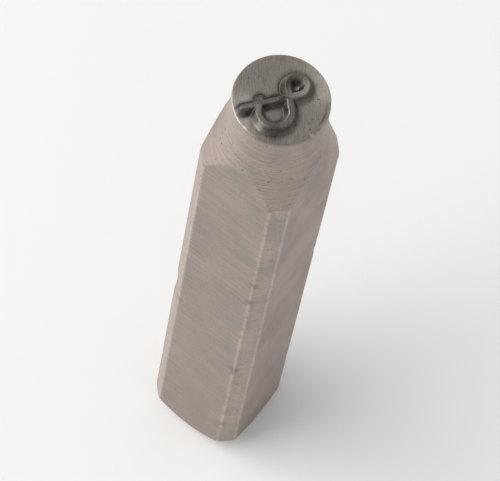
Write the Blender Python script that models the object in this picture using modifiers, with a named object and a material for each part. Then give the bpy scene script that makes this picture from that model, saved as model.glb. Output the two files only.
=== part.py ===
"""Steel letter stamp: one bar of square steel, turned to a round die face with a raised ampersand.

The stamp stands on its struck end with the die face up. Units are metres, +Z is up, and the origin
is the centre of the struck end. The flats face along X and Y, and the character's top is at +Y.
"""

import math

import bmesh
import bpy
from mathutils import Matrix, Vector

MM = 0.001

# Shank: square bar with its four long edges taken off
ACROSS_FLATS = 10.0 * MM
EDGE_CHAMFER = 1.25 * MM
OVERALL_LENGTH = 70.0 * MM

# Turned tip: the die face clears the character's foot all round, a short land drops straight from
# it, and a hollow flare leads out to the corners of the bar
FACE_MARGIN = 0.2 * MM
FACE_EDGE_BREAK = 0.15 * MM
LAND_LENGTH = 0.8 * MM
TIP_LENGTH = 10.6 * MM

# Struck end: a flat for the hammer inside a turned bevel
STRUCK_FLAT_DIAMETER = 8.4 * MM
STRUCK_BEVEL_HEIGHT = 1.8 * MM

# Character: a stroke of even width whose flanks widen down to the die face, set a little low on it
CHARACTER_HEIGHT = 6.0 * MM
CHARACTER_DROP = 0.2 * MM
STROKE_WIDTH = 0.5 * MM
STROKE_RELIEF = 0.8 * MM
STROKE_DRAFT = math.radians(25)
STROKE_EDGE_BREAK = 0.06 * MM

# Proportions of the ampersand, in parts of its height, with x to the right as it prints
LOOP_RADIUS = 0.142
BOWL_RADIUS = 0.240
SPINE_X = -0.065
ARM_END_X = 0.230
ARM_END_Y = -0.185
LEG_END_X = 0.327

# Smoothness of the round forms
TURNING_SIDES = 96
FLARE_STEPS = 14
STROKE_END_SIDES = 18
ARC_STEP = math.radians(6)
SHARP_ANGLE = math.radians(30)
PLANE_TOLERANCE = 0.001
WELD = 0.002 * MM

CORNER_RADIUS = math.hypot(ACROSS_FLATS / 2, ACROSS_FLATS / 2 - EDGE_CHAMFER)
FACE_HEIGHT = OVERALL_LENGTH - STROKE_RELIEF
FOOT_HALF_WIDTH = STROKE_WIDTH / 2 + STROKE_RELIEF * math.tan(STROKE_DRAFT)


def clear_scene():
    """Removes whatever the file holds, so that the stamp stands alone."""
    for obj in list(bpy.data.objects):
        bpy.data.objects.remove(obj, do_unlink=True)


def make_collection(name):
    """A collection in the scene's own."""
    collection = bpy.data.collections.new(name)
    bpy.context.scene.collection.children.link(collection)
    return collection


def add_object(name, data, collection):
    """An object at the origin that shows the given mesh or curve."""
    obj = bpy.data.objects.new(name, data)
    collection.objects.link(obj)
    return obj


def evaluated_mesh(obj):
    """A mesh of its own from what the object shows, modifiers and bevels included."""
    bpy.context.view_layer.update()
    return bpy.data.meshes.new_from_object(obj.evaluated_get(bpy.context.evaluated_depsgraph_get()))


def close_up(shape):
    """Joins points closer than the weld distance and turns every face outwards."""
    bmesh.ops.remove_doubles(shape, verts=shape.verts, dist=WELD)
    bmesh.ops.recalc_face_normals(shape, faces=shape.faces)


def make_steel():
    """Hardened tool steel, satin, with a faint warm tarnish."""
    steel = bpy.data.materials.new("hardened_tool_steel")
    steel.use_nodes = True
    shader = steel.node_tree.nodes["Principled BSDF"]
    shader.inputs["Base Color"].default_value = (0.42, 0.36, 0.32, 1.0)
    shader.inputs["Metallic"].default_value = 0.9
    shader.inputs["Roughness"].default_value = 0.42
    return steel


def square_bar(collection):
    """The stock: a square bar with chamfered edges, cut a bar's width too long at each end."""
    bpy.ops.mesh.primitive_cube_add(size=1.0)
    bar = bpy.context.object
    bar.name = "letter_stamp"
    bar.data.name = "letter_stamp"
    stock_length = OVERALL_LENGTH + 2 * ACROSS_FLATS
    size = Matrix.Diagonal((ACROSS_FLATS, ACROSS_FLATS, stock_length, 1.0))
    bar.data.transform(Matrix.Translation((0, 0, OVERALL_LENGTH / 2)) @ size)
    for owner in bar.users_collection:
        owner.objects.unlink(bar)
    collection.objects.link(bar)
    chamfer = bar.modifiers.new("long edges", "BEVEL")
    chamfer.offset_type = "OFFSET"
    chamfer.width = EDGE_CHAMFER
    chamfer.segments = 1
    return bar


def flare_profile(face_radius, clear_radius):
    """An arc from the foot of the land, tangent to it, to the bar's corners, then straight on and clear."""
    length = TIP_LENGTH - LAND_LENGTH
    spread = CORNER_RADIUS - face_radius
    arc_radius = (length ** 2 + spread ** 2) / (2 * spread)
    turn = math.asin(length / arc_radius)
    land_foot = FACE_HEIGHT - LAND_LENGTH
    points = []
    for step in range(FLARE_STEPS + 1):
        angle = turn * step / FLARE_STEPS
        radius = face_radius + arc_radius * (1 - math.cos(angle))
        points.append((radius, land_foot - arc_radius * math.sin(angle)))
    clear_drop = (clear_radius - CORNER_RADIUS) / math.tan(turn)
    return points + [(clear_radius, FACE_HEIGHT - TIP_LENGTH - clear_drop)]


def turned_envelope(face_radius, collection):
    """All that the lathe leaves: die face, land, flare, room for the bar, struck bevel and struck flat."""
    struck_radius = STRUCK_FLAT_DIAMETER / 2
    clear_radius = 2 * CORNER_RADIUS
    bevel_slope = STRUCK_BEVEL_HEIGHT / (CORNER_RADIUS - struck_radius)
    profile = [
        (0.0, FACE_HEIGHT),
        (face_radius - FACE_EDGE_BREAK, FACE_HEIGHT),
        (face_radius, FACE_HEIGHT - FACE_EDGE_BREAK),
        *flare_profile(face_radius, clear_radius),
        (clear_radius, bevel_slope * (clear_radius - struck_radius)),
        (struck_radius, 0.0),
        (0.0, 0.0),
    ]
    mesh = bpy.data.meshes.new("turned_envelope")
    points = [(radius, 0.0, height) for radius, height in profile]
    mesh.from_pydata(points, [(i, i + 1) for i in range(len(points) - 1)], [])
    envelope = add_object("turned_envelope", mesh, collection)
    turning = envelope.modifiers.new("turning", "SCREW")
    turning.axis = "Z"
    turning.angle = math.tau
    turning.steps = TURNING_SIDES
    turning.render_steps = TURNING_SIDES
    turning.use_merge_vertices = True
    turning.merge_threshold = WELD
    return envelope


def arc(centre, radius, start, end):
    """Points along an arc from one angle to another, both ends included."""
    steps = max(2, round(abs(end - start) / ARC_STEP))
    angles = [start + (end - start) * i / steps for i in range(steps + 1)]
    return [centre + radius * Vector((math.cos(angle), math.sin(angle))) for angle in angles]


def ampersand_line():
    """The stroke's middle line as it prints: leg, loop, crossing stroke, bowl and arm, all tangent."""
    reach = (CHARACTER_HEIGHT - STROKE_WIDTH) / 2
    loop_radius = LOOP_RADIUS * CHARACTER_HEIGHT
    bowl_radius = BOWL_RADIUS * CHARACTER_HEIGHT
    loop = Vector((SPINE_X * CHARACTER_HEIGHT, reach - loop_radius))
    bowl = Vector((SPINE_X * CHARACTER_HEIGHT, bowl_radius - reach))
    leg_end = Vector((LEG_END_X * CHARACTER_HEIGHT, -reach))
    arm_end = Vector((ARM_END_X, ARM_END_Y)) * CHARACTER_HEIGHT

    # The leg runs up to the left side of the loop, which the stroke then follows clockwise over the top
    to_leg = leg_end - loop
    loop_start = math.atan2(to_leg.y, to_leg.x) - math.acos(loop_radius / to_leg.length)

    # The crossing stroke is the inner tangent from the right of the loop to the left of the bowl
    to_bowl = bowl - loop
    loop_end = math.atan2(to_bowl.y, to_bowl.x) + math.acos((loop_radius + bowl_radius) / to_bowl.length)

    # The arm leaves the bowl on its lower right side
    to_arm = arm_end - bowl
    bowl_end = math.atan2(to_arm.y, to_arm.x) - math.acos(bowl_radius / to_arm.length)

    loop_points = arc(loop, loop_radius, loop_start + math.tau, loop_end)
    bowl_points = arc(bowl, bowl_radius, loop_end + math.pi, bowl_end + math.tau)
    return [leg_end, *loop_points, *bowl_points, arm_end]


def half_section():
    """Half of the stroke's section, from the middle of its top to the middle of its sunk root."""
    spread = math.tan(STROKE_DRAFT)
    root = STROKE_RELIEF / 10
    return [
        (0.0, STROKE_RELIEF),
        (STROKE_WIDTH / 2 - STROKE_EDGE_BREAK, STROKE_RELIEF),
        (STROKE_WIDTH / 2 + spread * STROKE_EDGE_BREAK, STROKE_RELIEF - STROKE_EDGE_BREAK),
        (FOOT_HALF_WIDTH + spread * root, -root),
        (0.0, -root),
    ]


def poly_curve(name, points, collection):
    """A curve object through the given points."""
    curve = bpy.data.curves.new(name, "CURVE")
    spline = curve.splines.new("POLY")
    spline.points.add(len(points) - 1)
    for point, place in zip(spline.points, points):
        point.co = (*place, 1.0)
    return add_object(name, curve, collection)


def add_round_end(shape, end, neighbour):
    """Closes an open end of the stroke with its half section turned through half a circle."""
    outward = (end - neighbour).normalized()
    left = Vector((-outward.y, outward.x, 0.0))
    centre = Vector((end.x, end.y, FACE_HEIGHT))
    places = [centre + width * left + Vector((0, 0, height)) for width, height in half_section()]
    corners = [shape.verts.new(place) for place in places]
    edges = [shape.edges.new(pair) for pair in zip(corners, corners[1:])]
    bmesh.ops.spin(
        shape,
        geom=corners + edges,
        cent=centre,
        axis=(0, 0, 1),
        angle=-math.pi,
        steps=STROKE_END_SIDES,
    )


def raised_stroke(line, collection):
    """The stroke's section carried along its line on the die face, with round ends."""
    half = half_section()
    outline = half + [(-width, height) for width, height in half[-2:0:-1]]
    section = poly_curve("stroke_section", [(width, height, 0.0) for width, height in outline], collection)
    section.data.dimensions = "2D"
    section.data.splines[0].use_cyclic_u = True
    path = poly_curve("stroke_path", [(point.x, point.y, FACE_HEIGHT) for point in line], collection)
    path.data.dimensions = "3D"
    path.data.twist_mode = "Z_UP"
    path.data.bevel_mode = "OBJECT"
    path.data.bevel_object = section

    mesh = evaluated_mesh(path)
    shape = bmesh.new()
    shape.from_mesh(mesh)
    add_round_end(shape, line[0], line[1])
    add_round_end(shape, line[-1], line[-2])
    close_up(shape)
    shape.to_mesh(mesh)
    shape.free()
    bpy.data.objects.remove(path, do_unlink=True)
    bpy.data.objects.remove(section, do_unlink=True)
    return add_object("stroke", mesh, collection)


def shade(mesh):
    """Smooth shading on what is turned, flat shading on the bar's planes, the die face and the ends."""
    mesh.shade_smooth()
    mesh.set_sharp_from_angle(angle=SHARP_ANGLE)
    for face in mesh.polygons:
        level = abs(face.normal.z) > 1 - PLANE_TOLERANCE
        upright = abs(face.normal.z) < PLANE_TOLERANCE
        on_land = face.center.z > FACE_HEIGHT - LAND_LENGTH
        face.use_smooth = not level and (on_land or not upright)


def combine(obj, operation, other, crosses_itself=False):
    """A Boolean of one object with another."""
    boolean = obj.modifiers.new(other.name, "BOOLEAN")
    boolean.operation = operation
    boolean.object = other
    boolean.solver = "EXACT"
    boolean.use_self = crosses_itself


def build():
    """Models the stamp: bar stock, turned ends, then the raised character."""
    clear_scene()
    part = make_collection("letter_stamp")
    helpers = make_collection("cutters")

    # A stamp prints a mirror image of its face, so the die carries the line turned left to right
    line = [Vector((-point.x, point.y - CHARACTER_DROP)) for point in ampersand_line()]
    face_radius = max(point.length for point in line) + FOOT_HALF_WIDTH + FACE_MARGIN

    stamp = square_bar(part)
    envelope = turned_envelope(face_radius, helpers)
    stroke = raised_stroke(line, helpers)
    combine(stamp, "INTERSECT", envelope)
    combine(stamp, "UNION", stroke, crosses_itself=True)

    solid = evaluated_mesh(stamp)
    shape = bmesh.new()
    shape.from_mesh(solid)
    close_up(shape)
    shape.to_mesh(solid)
    shape.free()
    stamp.modifiers.clear()
    stamp.data = solid
    solid.materials.clear()
    solid.materials.append(make_steel())
    shade(solid)
    for helper in list(helpers.objects):
        bpy.data.objects.remove(helper, do_unlink=True)
    bpy.data.collections.remove(helpers)


build()
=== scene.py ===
"""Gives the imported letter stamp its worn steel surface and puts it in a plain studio.

Everything is in metres in the stamp's own frame: it stands on its struck end at the origin, its
flats face along X and Y, and the top of its character points along +Y.
"""

import math

import bpy
import numpy as np
from bpy.props import FloatProperty, FloatVectorProperty, PointerProperty
from mathutils import Matrix, Vector


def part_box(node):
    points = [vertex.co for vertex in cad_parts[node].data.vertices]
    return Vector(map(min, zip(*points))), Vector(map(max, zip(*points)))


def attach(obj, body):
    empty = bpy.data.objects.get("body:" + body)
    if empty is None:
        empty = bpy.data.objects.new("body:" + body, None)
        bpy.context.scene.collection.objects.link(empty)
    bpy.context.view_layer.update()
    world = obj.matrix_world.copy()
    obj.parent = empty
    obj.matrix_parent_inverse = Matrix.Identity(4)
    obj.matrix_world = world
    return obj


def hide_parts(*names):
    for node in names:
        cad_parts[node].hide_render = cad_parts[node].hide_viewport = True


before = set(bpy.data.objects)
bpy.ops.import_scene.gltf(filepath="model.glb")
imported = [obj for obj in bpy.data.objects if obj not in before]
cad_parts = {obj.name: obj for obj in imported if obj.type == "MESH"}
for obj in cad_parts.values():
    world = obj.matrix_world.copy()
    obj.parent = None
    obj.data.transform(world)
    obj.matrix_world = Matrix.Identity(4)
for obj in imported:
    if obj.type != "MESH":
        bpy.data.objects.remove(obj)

bl_info = {
    "name": "Letter Stamp",
    "version": (1, 0, 0),
    "blender": (4, 5, 0),
    "location": "View3D > Sidebar > Letter Stamp",
    "description": "Builds a worn steel letter stamp and a plain studio around it",
    "category": "Add Mesh",
}

MM = 0.001
QUARTER = math.pi / 2
NODE = "letter_stamp"
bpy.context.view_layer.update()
LOWEST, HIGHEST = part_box(NODE)

# How finely the surface is divided: columns round the stamp, rings down each stretch of its profile
COLUMNS = 352
FACE_RINGS = 92
RIM_RINGS = 6
TIP_RINGS = 78
SHANK_RINGS = 82
BEVEL_RINGS = 12
STRUCK_RINGS = 8

# The facet knocked off beside the rim of the die face: its direction and spread round the stamp, the
# radius where it starts, and how far it sinks for each step outwards
FACET_TURN = math.radians(10)
FACET_SPREAD = 0.36
FACET_START = 3.98 * MM
FACET_SLOPE = 0.50

# Patches of the die face where grime and painted shade gather, or where painted shade is lifted and
# painted highlights laid on: x, y and width in millimetres
PATCHES = {
    "leg end": (-1.40, -2.95, 0.38),
    "leg tip": (-2.25, -3.10, 0.55),
    "beside leg": (-1.10, -2.35, 0.60),
    # Painted light on the loop's floor, lifting the shade that falls there
    "in loop": (0.82, 1.74, 0.42),
    "loop side": (-0.05, 1.95, 0.95),
    # Painted light on the bowl's floor, lifting the painted shade there
    "in bowl": (-0.20, -1.25, 0.85),
    # Painted shade on the bowl's inner flank
    "bowl foot": (1.12, -1.78, 0.55),
    # Painted shadow at the outer foot of the bowl
    "under bowl": (1.50, -3.00, 0.60),
    # Painted highlight on the bowl's outer flank
    "painted highlight": (0.12, -3.25, 0.42),
}

# The longest stain lies along the leg: its middle, its length and width in millimetres, and the
# leg's direction over the die face
STAIN_X = -0.55
STAIN_Y = -0.60
STAIN_LENGTH = 0.95
STAIN_WIDTH = 0.42
LEG_X = 0.574
LEG_Y = 0.819

# Knocks in the rim of the die face: turn round the stamp in degrees, depth and width in millimetres
RIM_KNOCKS = ((-17, 0.24, 0.34), (-2, 0.10, 0.30), (34, 0.08, 0.22), (-104, 0.05, 0.25))

# Knocks along the long edges: how many there are, and the least and greatest height, depth and width
# in millimetres
EDGE_KNOCKS = 28
KNOCK_HEIGHTS = (4, 58)
KNOCK_DEPTHS = (0.04, 0.12)
KNOCK_WIDTHS = (0.3, 0.8)

# The stage, in metres, and the direction from which the surroundings are brighter
FLOOR_SIZE = 4.0
KEY_SIZE = 1.4
KEY_PLACE = (-0.92, -0.64, 0.92)
BRIGHT_SIDE = (-0.80, -0.60, 0.0)

# The height at which the camera points, as a part of the stamp's length
AIM_HEIGHT = 0.55

# Proportions of the ampersand, in parts of its height, with x to the right as it prints
LOOP_RADIUS = 0.142
BOWL_RADIUS = 0.240
SPINE_X = -0.065
ARM_END = (0.230, -0.185)
LEG_END_X = 0.327


class StampSizes(bpy.types.PropertyGroup):
    """Sizes of the bar, its turned tip and its struck end."""

    across_flats: FloatProperty(
        name="Across flats",
        description="Width of the square bar from flat to flat",
        default=HIGHEST.x - LOWEST.x,
        unit="LENGTH",
    )
    overall_length: FloatProperty(
        name="Overall length",
        description="From the struck end to the top of the character",
        default=HIGHEST.z - LOWEST.z,
        unit="LENGTH",
    )
    edge_chamfer: FloatProperty(
        name="Edge chamfer",
        description="How much each long edge takes off a flat",
        default=1.25 * MM,
        unit="LENGTH",
    )
    edge_softness: FloatProperty(
        name="Edge softness",
        description="How far the long edges are rounded over by handling",
        default=0.20 * MM,
        unit="LENGTH",
    )
    face_diameter: FloatProperty(
        name="Face diameter",
        description="Across the round die face",
        default=8.73 * MM,
        unit="LENGTH",
    )
    rim_round: FloatProperty(
        name="Rim rounding",
        description="Radius of the rim of the die face where it is least worn",
        default=0.10 * MM,
        unit="LENGTH",
    )
    land_length: FloatProperty(
        name="Land",
        description="Straight turned stretch just under the die face",
        default=0.8 * MM,
        unit="LENGTH",
    )
    tip_length: FloatProperty(
        name="Tip length",
        description="From the die face down to where the flare meets the bar's corners",
        default=10.6 * MM,
        unit="LENGTH",
    )
    flare_softness: FloatProperty(
        name="Flare softness",
        description="Rounding of the scalloped edges where the flare runs out on the flats",
        default=0.16 * MM,
        unit="LENGTH",
    )
    struck_flat: FloatProperty(
        name="Struck flat",
        description="Across the flat that the hammer hits",
        default=8.4 * MM,
        unit="LENGTH",
    )
    struck_bevel: FloatProperty(
        name="Struck bevel",
        description="Height of the turned bevel round the struck flat",
        default=1.8 * MM,
        unit="LENGTH",
    )
    hand_grinding: FloatProperty(
        name="Hand grinding",
        description="How far the flats dip below a true plane",
        default=0.008 * MM,
        unit="LENGTH",
    )


class CharacterSizes(bpy.types.PropertyGroup):
    """Sizes of the raised character."""

    height: FloatProperty(
        name="Height",
        description="Height of the character as it prints",
        default=6.0 * MM,
        unit="LENGTH",
    )
    drop: FloatProperty(
        name="Drop",
        description="How far the character sits below the middle of the die face",
        default=0.2 * MM,
        unit="LENGTH",
    )
    stroke_width: FloatProperty(
        name="Stroke width",
        description="Width of the flat top of the stroke",
        default=0.5 * MM,
        unit="LENGTH",
    )
    relief: FloatProperty(
        name="Relief",
        description="Height of the character above the die face",
        default=0.8 * MM,
        unit="LENGTH",
    )
    draft: FloatProperty(
        name="Draft",
        description="Lean of the stroke's flanks away from upright",
        default=math.radians(25),
        subtype="ANGLE",
    )
    crest_wear: FloatProperty(
        name="Crest wear",
        description="Rounding of the stroke's top edges",
        default=0.14 * MM,
        unit="LENGTH",
    )
    foot_fillet: FloatProperty(
        name="Foot fillet",
        description="Rounding where the flanks meet the die face",
        default=0.16 * MM,
        unit="LENGTH",
    )


class SteelFinish(bpy.types.PropertyGroup):
    """Colours and sheen of the steel."""

    flats: FloatVectorProperty(
        name="Flats",
        description="Warm satin steel of the ground flats and the flare",
        default=(0.406, 0.325, 0.291),
        size=3,
        subtype="COLOR",
    )
    tarnish: FloatVectorProperty(
        name="Tarnish",
        description="Cooler and darker film that clouds the steel",
        default=(0.356, 0.302, 0.276),
        size=3,
        subtype="COLOR",
    )
    die_face: FloatVectorProperty(
        name="Die face",
        description="Grey green film of the die face",
        default=(0.405, 0.382, 0.330),
        size=3,
        subtype="COLOR",
    )
    # This colour also lays painted highlights on the die face, rim, edges and chamfers
    wear_and_highlight: FloatVectorProperty(
        name="Worn edges",
        description="Bright steel where handling has rubbed the film off",
        default=(0.622, 0.548, 0.498),
        size=3,
        subtype="COLOR",
    )
    # This colour also lays painted shade on the character's flanks, at their foot and by the bowl
    grime_and_shade: FloatVectorProperty(
        name="Grime",
        description="Dark film in the corners and pits",
        default=(0.068, 0.060, 0.052),
        size=3,
        subtype="COLOR",
    )
    smoothest: FloatProperty(
        name="Smoothest",
        description="Roughness of the smoothest clean steel",
        default=0.35,
        subtype="FACTOR",
    )
    roughest: FloatProperty(
        name="Roughest",
        description="Roughness of the roughest clean steel",
        default=0.43,
        subtype="FACTOR",
    )
    drawn_out: FloatProperty(
        name="Drawn-out highlights",
        description="How far the crosswise tool marks draw the highlights out along the bar",
        default=0.86,
        subtype="FACTOR",
    )
    mark_depth: FloatProperty(
        name="Mark depth",
        description="Depth of the tool marks, pits and scratches",
        default=0.012 * MM,
        unit="LENGTH",
    )


class StudioSettings(bpy.types.PropertyGroup):
    """Where the camera stands, and the plain light and floor."""

    azimuth: FloatProperty(
        name="Azimuth",
        description="Camera's direction round the stamp, from straight in front of the front flat",
        default=math.radians(25.8),
        subtype="ANGLE",
    )
    elevation: FloatProperty(
        name="Elevation",
        description="Camera's height angle, seen from the die face",
        default=math.radians(64.0),
        subtype="ANGLE",
    )
    distance: FloatProperty(
        name="Distance",
        description="From the die face to the camera",
        default=361 * MM,
        unit="LENGTH",
    )
    lean: FloatProperty(
        name="Lean",
        description="Roll of the camera, which leans the stamp in the picture",
        default=math.radians(12.6),
        subtype="ANGLE",
    )
    lens: FloatProperty(
        name="Focal length",
        description="Focal length in millimetres",
        default=300.0,
        unit="CAMERA",
    )
    floor: FloatVectorProperty(
        name="Floor",
        description="Pale matt floor",
        default=(0.88, 0.875, 0.865),
        size=3,
        subtype="COLOR",
    )
    horizon: FloatProperty(
        name="Horizon light",
        description="Brightness of the surroundings near the floor",
        default=0.82,
    )
    zenith: FloatProperty(
        name="Overhead light",
        description="Brightness of the surroundings overhead",
        default=0.52,
    )
    side_contrast: FloatProperty(
        name="Side contrast",
        description="How much brighter the surroundings are on the lamp's side than across from it",
        default=0.24,
        subtype="FACTOR",
    )
    key_power: FloatProperty(
        name="Key lamp",
        description="Power of the large soft lamp in watts",
        default=19.0,
        unit="POWER",
    )


def soft_minimum(first, second, softness):
    """The smaller of two arrays. Where they differ by less than the softness it rounds off smoothly,
    by a parabola that takes a quarter of the softness off where they are equal."""
    nearness = np.clip(1 - np.abs(first - second) / softness, 0, 1)
    return np.minimum(first, second) - softness * nearness ** 2 / 4


def bell(offset, width):
    """A bell curve: 1 where the offset is nothing, fading over the width."""
    return np.exp(-((offset / width) ** 2))


def turn_between(angle, middle):
    """The turn from a middle direction to each angle, the short way round."""
    return (angle - middle + math.pi) % math.tau - math.pi


def unevenness(x, y, grain):
    """A slow unevenness over a plane, from -1 to 1: four crossing waves, their lengths round about the
    grain and none a multiple of another, averaged."""
    waves = [(0.9, 0.5, 0.3), (-0.6, 1.1, 2.1), (1.5, -0.7, 4.0), (-1.2, -1.6, 5.2)]
    total = 0
    for across, along, phase in waves:
        total = total + np.sin(math.tau * (across * x + along * y) / grain + phase)
    return total / len(waves)


def stroke_distance(x, y, height, reach):
    """Distance from each point to the middle line of the mirrored ampersand, centred on the origin.

    The line is three straight runs (leg, crossing stroke and arm) and two bends (loop and bowl), each
    tangent to the next. It is worked out as it prints, so the points' x is turned round first. The
    distance to a run is taken to its nearest point, and to a bend along its radius.
    """
    x = -x
    loop_radius = LOOP_RADIUS * height
    bowl_radius = BOWL_RADIUS * height
    loop = np.array([SPINE_X * height, reach - loop_radius])
    bowl = np.array([SPINE_X * height, bowl_radius - reach])
    leg_end = np.array([LEG_END_X * height, -reach])
    arm_end = np.array(ARM_END) * height

    def direction(offset):
        return math.atan2(offset[1], offset[0])

    def on_circle(centre, radius, angle):
        return centre + radius * np.array([math.cos(angle), math.sin(angle)])

    to_leg = leg_end - loop
    to_bowl = bowl - loop
    to_arm = arm_end - bowl
    loop_start = direction(to_leg) - math.acos(loop_radius / math.hypot(*to_leg))
    crossing = direction(to_bowl) + math.acos((loop_radius + bowl_radius) / math.hypot(*to_bowl))
    bowl_end = direction(to_arm) - math.acos(bowl_radius / math.hypot(*to_arm))

    def to_run(start, end):
        along = end - start
        share = ((x - start[0]) * along[0] + (y - start[1]) * along[1]) / (along @ along)
        share = np.clip(share, 0, 1)
        return np.hypot(x - start[0] - share * along[0], y - start[1] - share * along[1])

    def to_bend(centre, radius, start, sweep):
        angle = np.arctan2(y - centre[1], x - centre[0])
        turned = (angle - start) % math.tau
        beside = np.abs(np.hypot(x - centre[0], y - centre[1]) - radius)
        return np.where(turned <= sweep, beside, np.inf)

    return np.minimum.reduce([
        to_run(leg_end, on_circle(loop, loop_radius, loop_start)),
        to_bend(loop, loop_radius, crossing, loop_start + math.tau - crossing),
        to_run(on_circle(loop, loop_radius, crossing), on_circle(bowl, bowl_radius, crossing + math.pi)),
        to_bend(bowl, bowl_radius, crossing + math.pi, bowl_end + math.pi - crossing),
        to_run(on_circle(bowl, bowl_radius, bowl_end), arm_end),
    ])


def stroke_height(distance, character):
    """Height above the die face at a distance from the stroke's line: the lower of a flat top and a
    flank that falls at the draft, rounded at the crest, and filleted where it runs out at nothing."""
    flank = character.relief - (distance - character.stroke_width / 2) / math.tan(character.draft)
    crest = soft_minimum(flank, character.relief, character.crest_wear)
    return -soft_minimum(-crest, 0.0, character.foot_fillet)


def bar_outline(angle, sizes):
    """Radius of the bar's outline in each direction, and how near each direction is to a long edge.

    The radius is the nearer of a flat and a chamfer, each a straight line at its own distance, folded
    into the eighth turn that all of them share.
    """
    half = sizes.across_flats / 2
    folded = np.abs((angle + QUARTER / 2) % QUARTER - QUARTER / 2)
    flat = half / np.cos(folded)
    chamfer = (2 * half - sizes.edge_chamfer) / math.sqrt(2) / np.cos(QUARTER / 2 - folded)
    return soft_minimum(flat, chamfer, sizes.edge_softness), bell(flat - chamfer, 0.13 * MM)


def turned_radius(height, sizes, face_height):
    """Radius left by the lathe at a height: the land, the flare's arc under it that runs through the
    bar's corners, and the cone of the struck bevel at the other end."""
    face_radius = sizes.face_diameter / 2
    half = sizes.across_flats / 2
    corner = math.hypot(half, half - sizes.edge_chamfer)
    length = sizes.tip_length - sizes.land_length
    spread = corner - face_radius
    arc_radius = (length ** 2 + spread ** 2) / (2 * spread)
    depth = np.clip(face_height - sizes.land_length - height, 0, 0.9 * arc_radius)
    flare = face_radius + arc_radius - np.sqrt(arc_radius ** 2 - depth ** 2)
    struck_radius = sizes.struck_flat / 2
    bevel = struck_radius + height * (corner - struck_radius) / sizes.struck_bevel
    return np.minimum(flare, bevel)


def face_finish(x, y, angle, distance, climb, knocked, character):
    """Shares of film, grime and painted shade, worn steel and painted highlight, and turned steel over
    the die face.

    The dark share is grime with painted shade over it. It is thickest halfway up the flanks, by four
    times the climb times what is left of it, and along their foot, by a bell curve of the distance from
    it, where the character shades its own flanks and foot. It is rubbed thinner towards +X, lifted as
    painted light where light falls in some of the patches, and gathers along the leg, in other patches,
    on the stroke's top and in an arc inside the rim; the arc and the patches at the bowl's foot and
    under the bowl are painted shade. Bright steel shows on the crest towards +X and on the knocked facet,
    and painted highlights on the floor in the loop and on the bowl's outer flank.
    """
    patch = {}
    for name, (patch_x, patch_y, width) in PATCHES.items():
        patch[name] = bell(np.hypot(x - patch_x * MM, y - patch_y * MM), width * MM)
    from_stain_x = x - STAIN_X * MM
    from_stain_y = y - STAIN_Y * MM
    along_leg = bell(LEG_X * from_stain_x + LEG_Y * from_stain_y, STAIN_LENGTH * MM)
    beside_leg = bell(LEG_X * from_stain_y - LEG_Y * from_stain_x, STAIN_WIDTH * MM)
    stain = np.clip(1.5 * along_leg * beside_leg, 0, 1) * (0.6 + 0.4 * climb)

    # How much handling has cleaned the face, from the -X side to the +X side
    brightened = np.clip(0.35 + x / (2.2 * MM), 0, 1)
    # Painted shade lifted where light falls in some patches, and grime rubbed thinner towards +X
    left = (1 - 0.45 * patch["leg tip"]) * (1 - 0.30 * brightened)
    for name, lightened in (("painted highlight", 0.9), ("in loop", 0.8), ("in bowl", 0.8), ("beside leg", 0.85)):
        left = left * (1 - lightened * patch[name])
    # Grime with painted shade over it, halfway up the flanks and along their foot, more at the bowl's
    # foot
    foot = character.stroke_width / 2 + character.relief * math.tan(character.draft)
    flank = np.maximum(4 * climb * (1 - climb), 0.95 * bell(distance - foot, 0.26 * MM))
    flank = flank * (left + 0.45 * patch["bowl foot"])
    top = (0.80 - 0.42 * brightened + 0.32 * patch["loop side"]) * climb
    leg_end = patch["leg end"] * (1 - 0.6 * climb)
    across = np.hypot(x, y)
    # Painted shade in an arc just inside the rim towards +X
    arc = bell(across - 4.02 * MM, 0.10 * MM) * bell(turn_between(angle, math.radians(16)), 0.25)
    grime_and_shade = flank + top + 0.9 * stain + 0.22 * leg_end + 0.4 * patch["under bowl"] + 0.6 * arc

    crest = bell(distance - character.stroke_width / 2 + 0.04 * MM, 0.06 * MM)
    facet_edge = np.clip((across - FACET_START) / (0.1 * MM) - 1, 0, 1)
    # Worn steel on the crest and the knocked facet, and painted highlights in the loop and on the bowl's
    # outer flank
    wear_and_highlight = np.maximum.reduce([
        0.20 * crest * brightened * (1 - stain) * (1 - patch["bowl foot"]),
        0.10 * patch["painted highlight"],
        0.7 * patch["in loop"] * (1 - climb),
        0.6 * knocked * facet_edge,
    ])
    return {
        "film": np.ones_like(across),
        "grime_and_shade": np.clip(grime_and_shade, 0, 1),
        "wear_and_highlight": wear_and_highlight,
        "turned": np.zeros_like(across),
    }


def die_face(angle, inner_radius, sizes, character):
    """Rings of the die face, out to the rim's inner radius in each direction.

    The height above the face is the stroke's, at the distance from its line, with the stroke's edges a
    little uneven as a hand leaves them. A facet is knocked off beside the rim on the +X side, which
    sinks in proportion to the distance outside its edge. Returns radius, height and shares.
    """
    across = np.linspace(0, 1, FACE_RINGS + 1)[1:, None] * inner_radius
    x = across * np.cos(angle)
    y = across * np.sin(angle)
    reach = (character.height - character.stroke_width) / 2
    distance = stroke_distance(x, y + character.drop, character.height, reach)
    distance = distance + 0.02 * MM * unevenness(x, y, 1.7 * MM)
    wear = 1 - 0.04 * (1 + unevenness(x, y, 5 * MM))
    raised = wear * stroke_height(distance, character)
    knocked = bell(turn_between(angle, FACET_TURN), FACET_SPREAD)
    facet = np.clip(across - FACET_START, 0, None) * knocked
    height = sizes.overall_length - character.relief + raised - FACET_SLOPE * facet
    climb = np.clip(raised / character.relief, 0, 1)
    return across, height, face_finish(x, y, angle, distance, climb, knocked, character)


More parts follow.
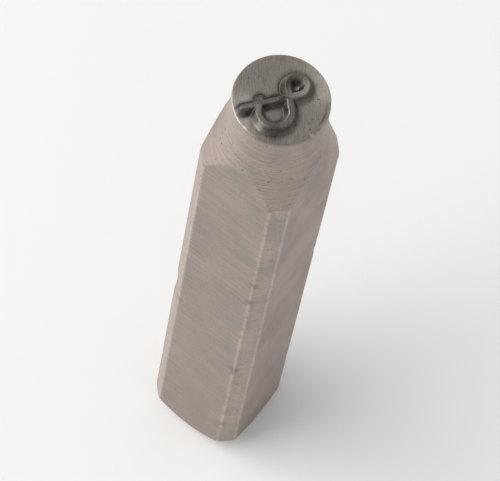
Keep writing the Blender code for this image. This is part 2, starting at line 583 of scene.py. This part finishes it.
def body(angle, top, sizes, face_height):
    """Rings from the rim down to the foot of the struck bevel.

    The radius is the lesser of the bar's outline and the turned profile, less a slow dip where the
    flats were ground by hand. Worn steel with painted highlight over it shows on the long edges, more
    thinly on the chamfers and the scallops, and painted highlight shows in uneven streaks where the flare
    runs out on the chamfers. Returns radius, height and shares.
    """
    # Each stretch reaches a little past its form, so the close rings also cover where it ends
    tip_foot = face_height - 1.15 * sizes.tip_length
    bevel_top = 1.25 * sizes.struck_bevel
    down_tip = np.linspace(0, 1, TIP_RINGS + 1)[1:-1, None]
    down_shank = np.linspace(0, 1, SHANK_RINGS, endpoint=False)[:, None] ** 1.3
    down_bevel = np.linspace(bevel_top, sizes.rim_round, BEVEL_RINGS)[:, None]
    height = np.concatenate([
        top + (tip_foot - top) * down_tip,
        tip_foot + (bevel_top - tip_foot) * down_shank + 0 * angle,
        down_bevel + 0 * angle,
    ])
    outline, edge = bar_outline(angle, sizes)
    turned = turned_radius(height, sizes, face_height)
    radius = soft_minimum(outline, turned, sizes.flare_softness)
    dip = 0.5 + 0.5 * unevenness(angle * 5 * MM, height, 15 * MM)
    clear_of_rim = np.clip((turned - sizes.face_diameter / 2) / (0.6 * MM), 0, 1)
    radius = radius - sizes.hand_grinding * dip * clear_of_rim
    in_reach = np.clip((turned - outline) / (0.05 * MM) + 0.5, 0, 1)
    # Worn steel with painted highlight along the scallops' edges
    scallop = 0.22 * bell(outline - turned, 0.08 * MM) * (height > bevel_top)
    # Painted highlight in uneven streaks where the flare runs out on the chamfers
    corner = bell(turn_between(4 * angle, math.pi) / 4, 0.13)
    run_out = bell(height - face_height + sizes.tip_length + 0.3 * MM, 1.2 * MM) * corner
    run_out_streaks = np.clip(unevenness(angle * 5 * MM, 0.1 * height, 0.55 * MM), 0, 1) * run_out
    # Worn steel with painted highlight on the long edges, more thinly on the chamfers
    brightened = np.maximum(0.28 * corner, 0.95 * edge) * in_reach
    shares = {
        "film": np.zeros_like(radius),
        "grime_and_shade": np.zeros_like(radius),
        "wear_and_highlight": np.maximum(brightened, scallop) + 0.6 * run_out_streaks,
        "turned": 1 - in_reach,
    }
    return radius, height, shares


def stamp_surface(sizes, character):
    """The whole surface as rings from the middle of the die face to the middle of the struck flat.

    The die face ends at the rim, a quarter circle whose radius grows where the rim is more worn. The
    body follows, then a quarter circle and even rings to the middle of the struck flat. Adding 0 times
    the angle or the turn spreads a row or a column of values over all the rings. Returns the points and
    each point's share of film, grime and painted shade, worn steel and painted highlight, and turned
    steel.
    """
    angle = np.linspace(0, math.tau, COLUMNS, endpoint=False)[None, :]
    face_height = sizes.overall_length - character.relief
    face_radius = sizes.face_diameter / 2
    worn_side = bell(turn_between(angle, math.radians(-70)), 0.8)
    # Painted highlights on the rim on two sides, over the wear all round it
    rim_highlight_left = bell(turn_between(angle, math.radians(-150)), 0.9)
    rim_highlight_right = bell(turn_between(angle, 0), 0.4)
    rim = sizes.rim_round * (1 + worn_side)

    face_across, face_heights, face_shares = die_face(angle, face_radius - rim, sizes, character)
    turn = np.linspace(0, QUARTER, RIM_RINGS + 1)[1:, None]
    rim_across = face_radius - rim + rim * np.sin(turn)
    rim_heights = face_heights[-1:] - rim + rim * np.cos(turn)
    rim_shares = {
        "film": np.cos(turn) + 0 * angle,
        "grime_and_shade": 0.45 * worn_side + 0 * turn,
        "wear_and_highlight": (0.15 + 0.22 * rim_highlight_left + 0.45 * rim_highlight_right) + 0 * turn,
        "turned": np.sin(turn) + 0 * angle,
    }
    body_across, body_heights, body_shares = body(angle, rim_heights[-1:], sizes, face_height)

    struck_turn = np.linspace(QUARTER, 0, 4)[1:, None]
    struck_inner = body_across[-1:] - sizes.rim_round
    struck_in = np.linspace(1, 0, STRUCK_RINGS + 1)[1:-1, None]
    struck_edge = struck_inner + sizes.rim_round * np.sin(struck_turn)
    struck_across = np.concatenate([struck_edge, struck_inner * struck_in])
    struck_rise = sizes.rim_round * (1 - np.cos(struck_turn))
    struck_heights = np.concatenate([struck_rise, 0 * struck_in]) + 0 * angle
    struck_shares = {
        "film": np.zeros_like(struck_across),
        "grime_and_shade": np.zeros_like(struck_across),
        "wear_and_highlight": np.concatenate([0.9 + 0 * struck_turn, 0.25 + 0 * struck_in]) + 0 * angle,
        "turned": np.zeros_like(struck_across),
    }

    radius = np.concatenate([face_across, rim_across, body_across, struck_across])
    height = np.concatenate([face_heights, rim_heights, body_heights, struck_heights])
    points = np.stack([radius * np.cos(angle), radius * np.sin(angle), height], axis=-1)
    parts = (face_shares, rim_shares, body_shares, struck_shares)
    shares = {name: np.concatenate([part[name] for part in parts]) for name in face_shares}
    return points, shares


def dent(points, shares, centre, towards, depth, width):
    """Pushes the points near a centre along a direction, by a bell curve of their distance from it, and
    leaves some grime in the hollow."""
    away = np.linalg.norm(points - np.array(centre), axis=-1)
    push = bell(away, width)
    shares["grime_and_shade"] = np.maximum(shares["grime_and_shade"], 0.5 * push ** 2)
    return points + depth * push[..., None] * np.array(Vector(towards).normalized())


def ring_mesh(name, points, shares, top, bottom):
    """A closed mesh from rings of points: quads between each ring and the next, and a fan of triangles
    to a middle point at each end, all with their faces outwards. The shares become attributes."""
    rings, columns, _ = points.shape
    number = np.arange(rings * columns).reshape(rings, columns)
    beside = np.roll(number, -1, axis=1)
    first, last = rings * columns, rings * columns + 1
    quads = np.stack([number[:-1], number[1:], beside[1:], beside[:-1]], axis=-1).reshape(-1, 4)
    top_fan = np.stack([np.full(columns, first), number[0], beside[0]], axis=-1)
    bottom_fan = np.stack([np.full(columns, last), beside[-1], number[-1]], axis=-1)
    mesh = bpy.data.meshes.new(name)
    places = np.concatenate([points.reshape(-1, 3), [top], [bottom]])
    mesh.from_pydata(places.tolist(), [], quads.tolist() + top_fan.tolist() + bottom_fan.tolist())
    for share, values in shares.items():
        ends = [values[0].mean(), values[-1].mean()]
        layer = mesh.attributes.new(share, "FLOAT", "POINT")
        layer.data.foreach_set("value", np.concatenate([values.ravel(), ends]).astype(np.float32))
    mesh.shade_smooth()
    return mesh


class NodeBoard:
    """Adds and joins the nodes of a material or of the surroundings, which end in the named shader."""

    def __init__(self, owner, shader="Principled BSDF"):
        owner.use_nodes = True
        self.tree = owner.node_tree
        self.shader = self.tree.nodes[shader]

    def add(self, kind, inputs=(), **settings):
        """Adds a node, sets its properties, and fills its inputs with values or other outputs."""
        node = self.tree.nodes.new("ShaderNode" + kind)
        for setting, value in settings.items():
            setattr(node, setting, value)
        for socket, value in dict(inputs).items():
            self.feed(node.inputs[socket], value)
        return node

    def feed(self, socket, value):
        """Gives a socket a value, or links it where the value is another node's output."""
        if isinstance(value, bpy.types.NodeSocket):
            self.tree.links.new(value, socket)
        else:
            socket.default_value = value

    def share(self, name):
        """The value of one of the mesh's own shares."""
        return self.add("Attribute", attribute_name=name).outputs["Fac"]

    def place(self, stretch=(1, 1, 1), turn=(0, 0, 0)):
        """Object coordinates in millimetres, turned and then stretched."""
        object_place = self.add("TexCoord").outputs["Object"]
        turned = self.add("Mapping", {"Vector": object_place, "Rotation": turn}).outputs["Vector"]
        in_mm = tuple(part / MM for part in stretch)
        return self.add("Mapping", {"Vector": turned, "Scale": in_mm}).outputs["Vector"]

    def noise(self, place, scale=1.0, detail=3.0, roughness=0.5):
        """Cloudy noise at a place, from 0 to 1."""
        inputs = {"Vector": place, "Scale": scale, "Detail": detail, "Roughness": roughness}
        return self.add("TexNoise", inputs).outputs["Fac"]

    def ramp(self, value, low, high, start=0.0, end=1.0):
        """Runs smoothly from start to end while the value goes from low to high."""
        inputs = {"Value": value, "From Min": low, "From Max": high, "To Min": start, "To Max": end}
        return self.add("MapRange", inputs, interpolation_type="SMOOTHSTEP").outputs["Result"]

    def maths(self, operation, first, second):
        """One sum on two values."""
        return self.add("Math", {0: first, 1: second}, operation=operation).outputs["Value"]

    def times(self, value, factor):
        """A value times a factor."""
        return self.maths("MULTIPLY", value, factor)

    def blend(self, share, first, second):
        """From the first value to the second by a share."""
        return self.add("Mix", {0: share, 2: first, 3: second}, data_type="FLOAT").outputs[0]

    def mix(self, share, first, second):
        """From the first colour to the second by a share."""
        return self.add("Mix", {0: share, 6: first, 7: second}, data_type="RGBA").outputs[2]


def opaque(colour):
    """The colour with full alpha."""
    return (*colour, 1.0)


def tool_marks(board, film, turned):
    """Fine tool marks, which run across the flats, round the turned tip and slantwise over the die
    face."""
    across = board.noise(board.place((0.18, 0.18, 11), (0.03, 0.02, 0)), 1.0, 3.0, 0.65)
    around = board.noise(board.place((0.3, 0.3, 9)), 1.0, 3.0, 0.65)
    slantwise = board.noise(board.place((0.9, 10, 10), (0, 0, 0.9)), 1.0, 3.0, 0.6)
    return board.blend(film, board.blend(turned, across, around), slantwise)


def long_scratches(board):
    """Thin scratches along the bar, which slant one way on the front and back and the other way on the
    sides."""
    front = board.noise(board.place((10, 10, 0.22), (0, 0.45, 0)), 1.0, 1.0, 0.5)
    side = board.noise(board.place((10, 10, 0.22), (-0.35, 0, 0)), 1.0, 1.0, 0.5)
    return board.maths("MAXIMUM", board.ramp(front, 0.70, 0.74), board.ramp(side, 0.70, 0.74))


def dark_specks(board):
    """Small pits, and larger fainter stains."""
    pits = board.noise(board.place((1, 1, 0.8)), 3.6, 2.0, 0.55)
    stains = board.noise(board.place((1, 1, 0.6), (0.3, 0.2, 0)), 1.1, 4.0, 0.7)
    return board.maths("MAXIMUM", board.ramp(pits, 0.67, 0.73), board.ramp(stains, 0.66, 0.72, 0.0, 0.35))


def worn_steel(finish):
    """Ground tool steel: clouded film, fine grinding lines and scratches, dark specks, worn edges, and
    painted shade and painted highlights on the character, rim and edges.
    """
    material = bpy.data.materials.new("worn tool steel")
    board = NodeBoard(material)
    film = board.share("film")
    turned = board.share("turned")
    clouds = board.noise(board.place((1.0, 1.0, 0.7)), 0.30, 3.0, 0.5)
    mottle = board.noise(board.place(), 1.9, 4.0, 0.6)
    grain = board.noise(board.place(), 7.0, 2.0, 0.6)
    marks = tool_marks(board, film, turned)
    scratches = long_scratches(board)
    specks = dark_specks(board)
    wear_and_highlight = board.times(board.share("wear_and_highlight"), board.ramp(mottle, 0.32, 0.60, 0.25, 1.0))
    grime_and_shade = board.times(board.share("grime_and_shade"), board.ramp(mottle, 0.25, 0.70, 0.95, 0.72))

    # Steel under its film, then one layer over another: the marks' dark and bright lines, grain, worn
    # edges with painted highlights, scratches, grime with painted shade, and specks
    steel = board.mix(board.ramp(clouds, 0.38, 0.66), opaque(finish.flats), opaque(finish.tarnish))
    steel = board.mix(board.times(turned, 0.10), steel, opaque(finish.wear_and_highlight))
    face_tarnish = board.ramp(mottle, 0.35, 0.75, 0.0, 0.5)
    face_steel = board.mix(face_tarnish, opaque(finish.die_face), opaque(finish.tarnish))
    colour = board.mix(film, steel, face_steel)
    for share, layer in (
        (board.ramp(marks, 0.45, 0.75, 0.0, 0.38), finish.grime_and_shade),
        (board.ramp(marks, 0.48, 0.25, 0.0, 0.30), finish.wear_and_highlight),
        (board.ramp(grain, 0.50, 0.80, 0.0, 0.25), finish.grime_and_shade),
        (board.times(wear_and_highlight, 0.75), finish.wear_and_highlight),
        (board.times(scratches, 0.30), finish.wear_and_highlight),
        (grime_and_shade, finish.grime_and_shade),
        (board.times(specks, 0.70), finish.grime_and_shade),
    ):
        colour = board.mix(share, colour, opaque(layer))
    board.feed(board.shader.inputs["Base Color"], colour)

    # Dirt and painted shade are rougher, and worn steel and painted highlights smoother. A quarter turn
    # lays the highlights along the bar.
    dirt_and_shade = board.maths("MAXIMUM", specks, grime_and_shade)
    roughness = board.ramp(clouds, 0.3, 0.7, finish.smoothest, finish.roughest)
    roughness = board.maths("ADD", roughness, board.times(dirt_and_shade, 0.18))
    roughness = board.maths("SUBTRACT", roughness, board.times(wear_and_highlight, 0.08))
    board.feed(board.shader.inputs["Roughness"], roughness)
    board.shader.inputs["Metallic"].default_value = 1.0
    board.shader.inputs["Anisotropic"].default_value = finish.drawn_out
    board.shader.inputs["Anisotropic Rotation"].default_value = 0.25

    relief = board.maths("ADD", board.times(marks, 0.9), board.times(mottle, 0.7))
    relief = board.maths("SUBTRACT", relief, board.times(specks, 0.9))
    relief = board.maths("SUBTRACT", relief, board.times(scratches, 0.5))
    raised = board.add("Bump", {"Strength": 1.0, "Distance": finish.mark_depth, "Height": relief})
    board.feed(board.shader.inputs["Normal"], raised.outputs["Normal"])
    return material


class StampOperator(bpy.types.Operator):
    """Builds the stamp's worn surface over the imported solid"""

    bl_idname = "letter_stamp.make_stamp"
    bl_label = "Make Stamp"

    def execute(self, context):
        sizes = context.scene.stamp_sizes
        character = context.scene.character_sizes
        points, shares = stamp_surface(sizes, character)

        # Knocks in the rim, pushed in and down
        rim_radius = sizes.face_diameter / 2
        face_height = sizes.overall_length - character.relief
        for degrees, depth, width in RIM_KNOCKS:
            turn = math.radians(degrees)
            outward = Vector((math.cos(turn), math.sin(turn), 0))
            centre = rim_radius * outward + Vector((0, 0, face_height))
            points = dent(points, shares, centre, -outward - Vector((0, 0, 1)), depth * MM, width * MM)

        # Smaller knocks along the long edges, each on one side or the other of a chamfer
        knocks = np.random.default_rng(8)
        edge_radius = 1.42 * (sizes.across_flats / 2 - 0.5 * sizes.edge_chamfer)
        beside_corner = math.radians(8.1)
        for corner in range(EDGE_KNOCKS):
            turn = QUARTER * (corner % 4 + 0.5) + knocks.choice([-1, 1]) * beside_corner
            outward = Vector((math.cos(turn), math.sin(turn), 0))
            centre = edge_radius * outward + Vector((0, 0, knocks.uniform(*KNOCK_HEIGHTS) * MM))
            depth = knocks.uniform(*KNOCK_DEPTHS) * MM
            width = knocks.uniform(*KNOCK_WIDTHS) * MM
            points = dent(points, shares, centre, -outward, depth, width)

        mesh = ring_mesh("stamp_surface", points, shares, (0, 0, points[0, :, 2].mean()), (0, 0, 0))
        stamp = bpy.data.objects.new("stamp_surface", mesh)
        context.scene.collection.objects.link(stamp)
        mesh.materials.append(worn_steel(context.scene.steel_finish))
        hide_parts(NODE)
        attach(stamp, "root")
        return {"FINISHED"}


def matt_floor(settings):
    """Plain pale floor paint."""
    material = bpy.data.materials.new("pale floor")
    board = NodeBoard(material)
    board.shader.inputs["Base Color"].default_value = opaque(settings.floor)
    board.shader.inputs["Roughness"].default_value = 0.9
    board.shader.inputs["Specular IOR Level"].default_value = 0.1
    return material


def room_light(settings):
    """Surroundings that are bright near the floor and greyer overhead, by the height of each direction,
    and brighter on the lamp's side, by how far each direction points that way."""
    world = bpy.data.worlds.new("studio")
    board = NodeBoard(world, "Background")
    direction = board.add("TexCoord").outputs["Generated"]
    height = board.add("SeparateXYZ", {0: direction}).outputs["Z"]
    facing = board.add("VectorMath", {0: direction, 1: BRIGHT_SIDE}, operation="DOT_PRODUCT")
    side = board.add("MapRange", {
        "Value": facing.outputs["Value"],
        "From Min": -1.0,
        "From Max": 1.0,
        "To Min": 1.0 - settings.side_contrast,
        "To Max": 1.0 + settings.side_contrast,
    })
    strength = board.ramp(height, 0.1, 0.9, settings.horizon, settings.zenith)
    board.feed(board.shader.inputs["Strength"], board.times(strength, side.outputs["Result"]))
    board.feed(board.shader.inputs["Color"], opaque((1, 1, 1)))
    return world


def aimed(location, target, roll=0.0):
    """Placement of a lamp or camera at a location that looks at a target, rolled about its own axis."""
    facing = (Vector(target) - Vector(location)).to_track_quat("-Z", "Y").to_matrix().to_4x4()
    return Matrix.Translation(location) @ facing @ Matrix.Rotation(roll, 4, "Z")


class StudioOperator(bpy.types.Operator):
    """Sets up the floor, the soft light and the camera"""

    bl_idname = "letter_stamp.make_studio"
    bl_label = "Make Studio"

    def execute(self, context):
        scene = context.scene
        settings = scene.studio_settings
        sizes = scene.stamp_sizes

        bpy.ops.mesh.primitive_plane_add(size=FLOOR_SIZE)
        floor = context.object
        floor.name = "floor"
        floor.data.materials.append(matt_floor(settings))

        key = bpy.data.lights.new("key", "AREA")
        key.shape = "RECTANGLE"
        key.size = KEY_SIZE
        key.size_y = KEY_SIZE
        key.energy = settings.key_power
        key_lamp = bpy.data.objects.new("key", key)
        key_lamp.matrix_world = aimed(KEY_PLACE, (0, 0, sizes.overall_length / 2))
        scene.collection.objects.link(key_lamp)

        scene.world = room_light(settings)
        scene.view_settings.view_transform = "Standard"

        camera = bpy.data.cameras.new("camera")
        camera.lens = settings.lens
        camera.clip_start = 0.01
        across = math.cos(settings.elevation)
        back = Vector((
            math.sin(settings.azimuth) * across,
            -math.cos(settings.azimuth) * across,
            math.sin(settings.elevation),
        ))
        face = Vector((0, 0, sizes.overall_length - scene.character_sizes.relief))
        viewer = bpy.data.objects.new("camera", camera)
        aim = (0, 0, AIM_HEIGHT * sizes.overall_length)
        viewer.matrix_world = aimed(face + settings.distance * back, aim, settings.lean)
        scene.collection.objects.link(viewer)
        scene.camera = viewer
        return {"FINISHED"}


class StampPanel(bpy.types.Panel):
    """Lists the stamp's sizes, its finish and the studio, with a button for each operator"""

    bl_idname = "VIEW3D_PT_letter_stamp"
    bl_label = "Letter Stamp"
    bl_space_type = "VIEW_3D"
    bl_region_type = "UI"
    bl_category = "Letter Stamp"

    def draw(self, context):
        for group, operator in (
            (context.scene.stamp_sizes, None),
            (context.scene.character_sizes, None),
            (context.scene.steel_finish, StampOperator.bl_idname),
            (context.scene.studio_settings, StudioOperator.bl_idname),
        ):
            column = self.layout.column(align=True)
            for name in group.__annotations__:
                column.prop(group, name)
            if operator:
                column.operator(operator)


CLASSES = (
    StampSizes,
    CharacterSizes,
    SteelFinish,
    StudioSettings,
    StampOperator,
    StudioOperator,
    StampPanel,
)


def register():
    """Registers the classes and hangs their settings on the scene."""
    for cls in CLASSES:
        bpy.utils.register_class(cls)
    bpy.types.Scene.stamp_sizes = PointerProperty(type=StampSizes)
    bpy.types.Scene.character_sizes = PointerProperty(type=CharacterSizes)
    bpy.types.Scene.steel_finish = PointerProperty(type=SteelFinish)
    bpy.types.Scene.studio_settings = PointerProperty(type=StudioSettings)


def unregister():
    """Takes away what register added."""
    del bpy.types.Scene.studio_settings
    del bpy.types.Scene.steel_finish
    del bpy.types.Scene.character_sizes
    del bpy.types.Scene.stamp_sizes
    for cls in reversed(CLASSES):
        bpy.utils.unregister_class(cls)


def main():
    """Builds the stamp and the studio."""
    register()
    bpy.ops.letter_stamp.make_stamp()
    bpy.ops.letter_stamp.make_studio()


if __name__ == "__main__":
    main()
